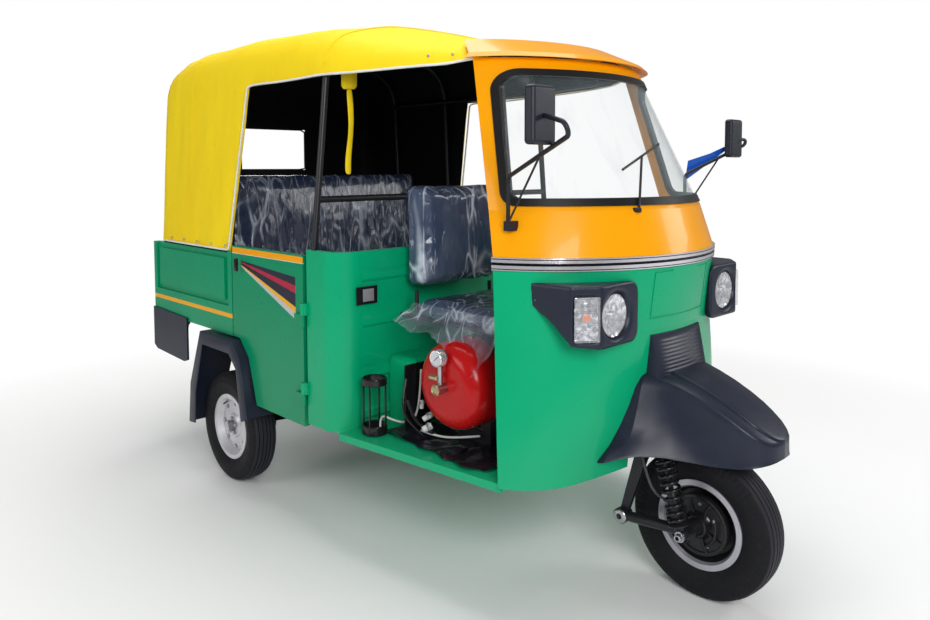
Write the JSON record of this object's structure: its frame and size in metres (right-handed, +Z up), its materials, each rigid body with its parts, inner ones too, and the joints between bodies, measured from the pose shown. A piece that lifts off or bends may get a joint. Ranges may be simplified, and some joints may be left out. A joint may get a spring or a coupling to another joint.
{
  "type": "auto rickshaw",
  "caption": "Three-wheeled passenger taxi with a closed nose, canvas hood, driver's seat, passenger bench, side doors, tailgate and turning wheels.",
  "frame": {"origin": "on the ground, under the middle of the whole vehicle's length and width", "axes": "+X to the vehicle's left, -Y forward, +Z up"},
  "size_m": [1.5595, 2.89, 2.0149],
  "materials": {
    "green_paint": "gloss",
    "orange_paint": "gloss",
    "black_paint": "satin",
    "red_paint": "gloss",
    "black_plastic": "matte",
    "glass": "clear",
    "lens": "clear",
    "rubber": "matte",
    "chrome": "polished",
    "canvas": "woven",
    "seat_cover": "vinyl",
    "tyre": "matte",
    "silver": "satin",
    "cast": "rough",
    "steel": "satin",
    "red_lens": "gloss"
  },
  "bodies": {
    "body": {"chassis_frame": "black_paint", "cab_floor": "green_paint", "front_cowl": "green_paint", "upper_cowl": "orange_paint", "roof_visor": "orange_paint", "windscreen_glass": "glass", "windscreen_seal": "rubber", "belt_trim": "chrome", "headlamp_bezels": "black_plastic", "lamp_lenses": "lens", "front_mudguard": "black_plastic", "mudguard_bridge": "black_plastic", "dashboard": "black_plastic", "wiper": "black_plastic", "mirrors": "black_plastic", "bulkhead": "green_paint", "corner_posts": "green_paint", "rear_floor": "green_paint", "side_panels": "green_paint", "hood": "canvas", "hood_frame": "black_paint", "driver_seat_cushion": "seat_cover", "driver_seat_back": "seat_cover", "driver_seat_frame": "black_paint", "bench_cushion": "seat_cover", "bench_back": "seat_cover", "bench_base": "green_paint", "gas_tank": "red_paint", "tank_cradle": "black_paint", "tank_valve": "steel", "cab_equipment": "green_paint", "bottle_cage": "black_plastic", "engine_block": "cast", "muffler": "steel", "rear_suspension": "black_paint", "rear_mudguards": "black_plastic", "mud_plates": "black_plastic", "tail_lamps": "red_lens"},
    "steering": {"steering_fork": "black_paint", "front_damper": "black_paint", "brake_hose": "rubber", "handlebar": "black_paint"},
    "front_wheel": {"front_tyre": "tyre", "front_rim": "black_paint"},
    "rear_wheel_right": {"rear_tyre_right": "tyre", "rear_rim_right": "silver"},
    "rear_wheel_left": {"rear_tyre_left": "tyre", "rear_rim_left": "silver"},
    "door_right": {"door_right": "green_paint"},
    "door_left": {"door_left": "green_paint"},
    "tailgate": {"tailgate": "green_paint"}
  },
  "joints": [
    {"name": "steering_turn", "type": "hinge", "parent": "body", "child": "steering", "pos_m": [0, -1.17265, 0.24], "axis": [0, 0.342, 0.9397], "range_deg": [-35, 35]},
    {"name": "front_wheel_spin", "type": "hinge", "parent": "steering", "child": "front_wheel", "pos_m": [0, -1.2, 0.24], "axis": [1, 0, 0], "continuous": true},
    {"name": "rear_wheel_right_spin", "type": "hinge", "parent": "body", "child": "rear_wheel_right", "pos_m": [-0.631, 0.705, 0.24], "axis": [1, 0, 0], "continuous": true},
    {"name": "rear_wheel_left_spin", "type": "hinge", "parent": "body", "child": "rear_wheel_left", "pos_m": [0.631, 0.705, 0.24], "axis": [1, 0, 0], "continuous": true},
    {"name": "door_right_swing", "type": "hinge", "parent": "body", "child": "door_right", "pos_m": [-0.706, 0.05925, 0.7], "axis": [0, 0, 1], "range_deg": [0, 90]},
    {"name": "door_left_swing", "type": "hinge", "parent": "body", "child": "door_left", "pos_m": [0.706, 0.05925, 0.7], "axis": [0, 0, -1], "range_deg": [0, 90]},
    {"name": "tailgate_drop", "type": "hinge", "parent": "body", "child": "tailgate", "pos_m": [0, 1.426, 0.714], "axis": [-1, 0, 0], "range_deg": [0, 90]}
  ]
}
